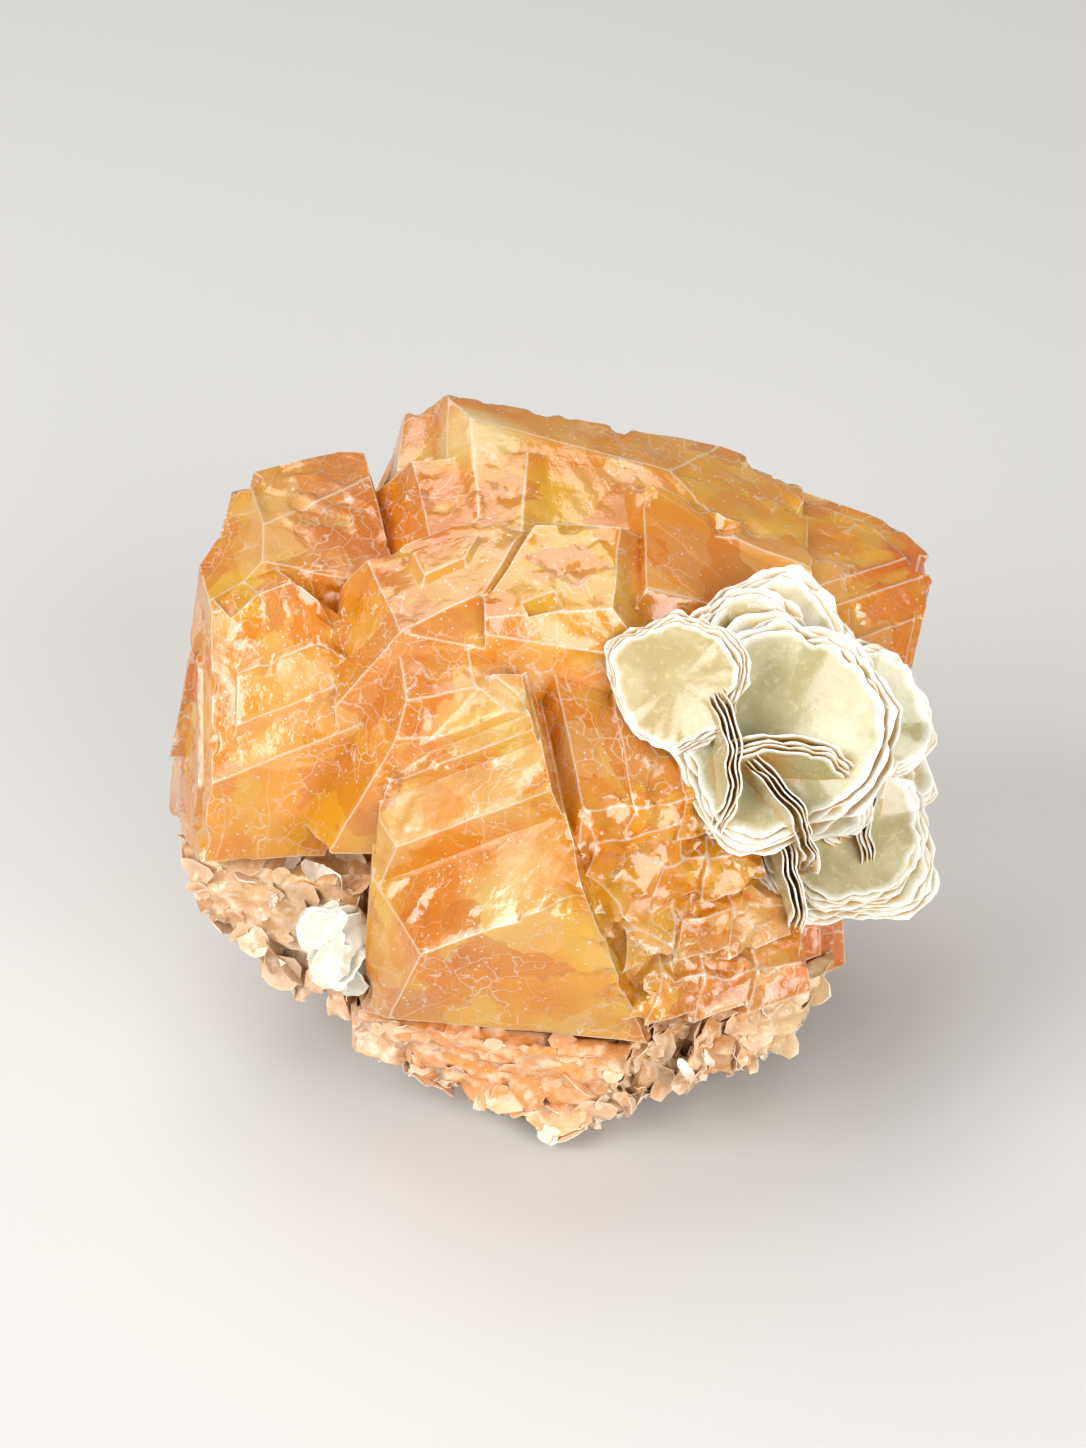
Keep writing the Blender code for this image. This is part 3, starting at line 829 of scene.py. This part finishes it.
# Few mica plates lie on the orange keel under the front crystal.
KEEL_AT = (-3, -22.5, 9)
KEEL_REACH = 8.5


# The crust's relief: triangle edges, and its plates' size, depth and tilt.
CRUST_EDGE = 0.75
CRUST_PLATE = 3.0
CRUST_DEPTH = 0.35
CRUST_TILT = 0.5
CRUST_HILLS = 0.14
LOW_CRUST = (228, 204, 166)
DARK_CRUST = (170, 96, 44)


def crust_colours(place):
    """Regions, with a paler foot and darker patches."""
    colour = tone_colours(place, CRUST_TONES, CRUST_ELSEWHERE)
    low = 1 - ramp(place[:, 2] + 1.5 * smooth_noise(place, 3, 211), 1.0, 5.0)
    colour = blend(0.40 * low, colour, np.array(shown(*LOW_CRUST)))
    dark = ramp(layered_noise(place, 5, 221), 0.05, 0.5)
    return blend(0.35 * dark, colour, np.array(shown(*DARK_CRUST)))


def make_crust(look):
    bm, layer = fine_copy("mica_matrix", CRUST_EDGE)
    place, normal, *_ = surface_facts(bm, layer)
    base = place[:, 2] < 0.05
    first, second, label, away = cell_noise(place * np.array((1, 1, 1.5)), CRUST_PLATE, 9)
    height = CRUST_DEPTH * (label - 0.6) + CRUST_HILLS * layered_noise(place, 2.0, 13)
    height += CRUST_TILT * np.sum(plate_tilts(label) * away, axis=1)
    height = np.where(base, 0.0, height)
    place = place + normal * height[:, None]
    place[:, 2] = np.where(base, 0.0, np.maximum(place[:, 2], 0.02))
    item = write_mesh(bm, "crust", in_box(place))
    paint(item, "tone", crust_colours(place))
    paint(item, "rim", 1 - ramp(second - first, 0.0, 0.35))
    shade(item, 25)
    item.data.materials.append(look)
    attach(item, "root")
    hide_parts("mica_matrix")
    return item


PETALS = 15


def make_bud(look):
    """Nested rounded petals, facing the viewer and the left."""
    low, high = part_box("muscovite_bud")
    middle = np.array((low + high) / 2) / MM + ORIGIN
    plates = Plates()
    dice = np.random.default_rng(23)
    for number in range(PETALS):
        inward = number / (PETALS - 1)
        turn = -20 + dice.normal(0, 30) * (0.5 + inward)
        lift = 18 + dice.normal(0, 26)
        normal = np.array(facing(turn, lift))
        centre = middle + normal * (2.4 - 1.6 * inward) + dice.normal(0, 0.5, 3) * (1, 1, 1.8)
        outline = leaf_outline(1.7 + 1.5 * inward, 36, turn, lift, dice, 0.04)
        tilt = (Vector(normal) + Vector(dice.normal(0, 0.3, 3))).normalized()
        sheet(plates, centre, tilt, dice.uniform(0, 6), outline, -0.42, 0.14, 0.24, 7,
              0.25 if turn > 0 else 0.0, dice, pale=0.5)
    item = plates.make("bud_leaves")
    item.data.materials.append(look)
    shade(item, 50)
    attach(item, "root")
    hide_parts("muscovite_bud")


# Mica plates on the crust: how many, their radius, how far they tilt, the
# height above the base up to which they lie, and how pale they are.
FLAKE_SETS = [
    (480, (0.8, 1.9), 0.13, 60.0, 0.05),
    (420, (0.4, 1.0), 0.40, 60.0, 0.2),
    (460, (0.4, 1.0), 0.50, 4.5, 0.7),
]
# Single long white flakes: place, turn and lift of the face, length.
WHITE_FLAKES = [
    ((-20.3, -12.6, 24.0), 30, 35, 4.2),
    ((-22.3, -10.1, 23.3), -25, 55, 3.0),
    ((-24.5, -12.5, 20.5), 20, 20, 1.6),
    ((-16.5, -17.0, 17.5), -10, 45, 1.8),
    ((13.0, -23.0, 9.4), -30, 50, 2.6),
    ((15.5, -21.0, 9.0), 40, 30, 2.0),
]


# The solids' flat base, in metres, has no plates on it.
BARE_BASE = 0.0008
WHITE = (246, 236, 222)
PALE_FLAKE = (244, 232, 212)


def make_flakes(crust, look):
    """Small mica plates all over the crust, half sunk in it."""
    dice = np.random.default_rng(41)
    plates = Plates()
    for spot, turn, lift, length in WHITE_FLAKES:
        found, near, outward, _ = crust.closest_point_on_mesh(placed(spot))
        centre = np.array(near + outward * 0.35 * MM) / MM + ORIGIN
        angles = np.arange(24) * 2 * math.pi / 24
        outline = 0.5 * length / np.hypot(np.cos(angles), 2.4 * np.sin(angles))
        outline *= 1 + dice.normal(0, 0.05, 24)
        sheet(plates, centre, facing(turn, lift), dice.uniform(0, 6), outline, 0.3, 0.10, 0.18,
              5, 0.0, dice, np.array(shown(*WHITE)), 0.5)
    for count, radii, slack, top, pale in FLAKE_SETS:
        faces = [face for face in crust.data.polygons
                 if BARE_BASE < face.center.z < top * MM]
        areas = np.array([face.area for face in faces])
        picks = dice.choice(len(faces), count, p=areas / areas.sum())
        centres = np.array([faces[pick].center for pick in picks]) / MM + ORIGIN
        colours = crust_colours(centres)
        share = np.clip(pale + dice.normal(0, 0.14, count), 0, 1)
        colours = blend(share, colours, np.array(shown(*PALE_FLAKE)))
        keel = np.linalg.norm(centres - np.array(KEEL_AT), axis=1) < KEEL_REACH
        bare = keel & (dice.random(count) < 0.7)
        for pick, centre, colour, left_out in zip(picks, centres, colours, bare):
            if left_out:
                continue
            outward = faces[pick].normal
            tilt = (outward + Vector(dice.normal(0, slack, 3))).normalized()
            outline = leaf_outline(dice.uniform(*radii), 10, dice.uniform(0, 6), dice.uniform(0, 6),
                                   dice, 0.09)
            sheet(plates, centre + np.array(outward) * 0.04, tilt, dice.uniform(0, 6), outline,
                  0.08, 0.09, 0.12, 3, 0.0, dice, colour)
    item = plates.make("crust_flakes")
    item.data.materials.append(look)
    shade(item, 40)
    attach(item, "root")


def make_floor():
    bpy.ops.mesh.primitive_plane_add(size=12.0, location=(0, 0, 0))
    floor = bpy.context.object
    floor.name = "floor"
    made = new_material("floor_look")
    g = Graph(made)
    shader = g.node("ShaderNodeBsdfPrincipled", inputs={
        "Base Color": (0.58, 0.57, 0.55, 1), "Roughness": 0.7})
    out = g.node("ShaderNodeOutputMaterial")
    g.put(out.inputs["Surface"], shader.outputs[0])
    floor.data.materials.append(made)


LIGHT_AIM = (0, 0, 0.03)


def soft_light(name, place, size, power, colour=(1, 1, 1)):
    """A round lamp at a place in metres, facing the specimen's middle."""
    lamp = bpy.data.lights.new(name, "AREA")
    lamp.shape = "DISK"
    lamp.size = size
    lamp.energy = power
    lamp.color = colour
    item = bpy.data.objects.new(name, lamp)
    item.location = place
    item.rotation_euler = (Vector(LIGHT_AIM) - Vector(place)).to_track_quat("-Z", "Y").to_euler()
    bpy.context.scene.collection.objects.link(item)


def make_light():
    world = bpy.data.worlds.new("studio")
    bpy.context.scene.world = world
    world.use_nodes = True
    sky = world.node_tree.nodes["Background"].inputs
    sky["Color"].default_value = (0.93, 0.95, 1.0, 1)
    sky["Strength"].default_value = 0.36
    soft_light("key", (-0.42, -0.26, 0.36), 0.50, 3.5)
    soft_light("back", (-0.14, 0.24, 0.60), 0.55, 2.0, (1.0, 0.97, 0.92))
    soft_light("front", (0.30, -0.45, 0.22), 0.55, 3.5)
    scene = bpy.context.scene
    scene.view_settings.view_transform = "Standard"
    scene.cycles.max_bounces = 5
    scene.cycles.diffuse_bounces = 2
    scene.cycles.glossy_bounces = 2
    scene.cycles.transmission_bounces = 4
    scene.cycles.sample_clamp_indirect = 4.0


def make_camera():
    data = bpy.data.cameras.new("camera")
    data.lens = LENS
    data.sensor_width = SENSOR
    data.sensor_fit = "VERTICAL"
    data.sensor_height = SENSOR
    camera = bpy.data.objects.new("camera", data)
    aim = placed(CAMERA_AIM)
    camera.location = aim + facing(0, CAMERA_LIFT) * CAMERA_REACH * MM
    camera.rotation_euler = (aim - camera.location).to_track_quat("-Z", "Y").to_euler()
    bpy.context.scene.collection.objects.link(camera)
    bpy.context.scene.camera = camera


make_camera()
make_floor()
make_light()
crystal_look = crystal_material()
crust_look = crust_material()
leaf_look = leaf_material()
make_crystals(crystal_look)
crust = make_crust(crust_look)
make_flakes(crust, crust_look)
make_rosette(leaf_look)
make_bud(leaf_look)
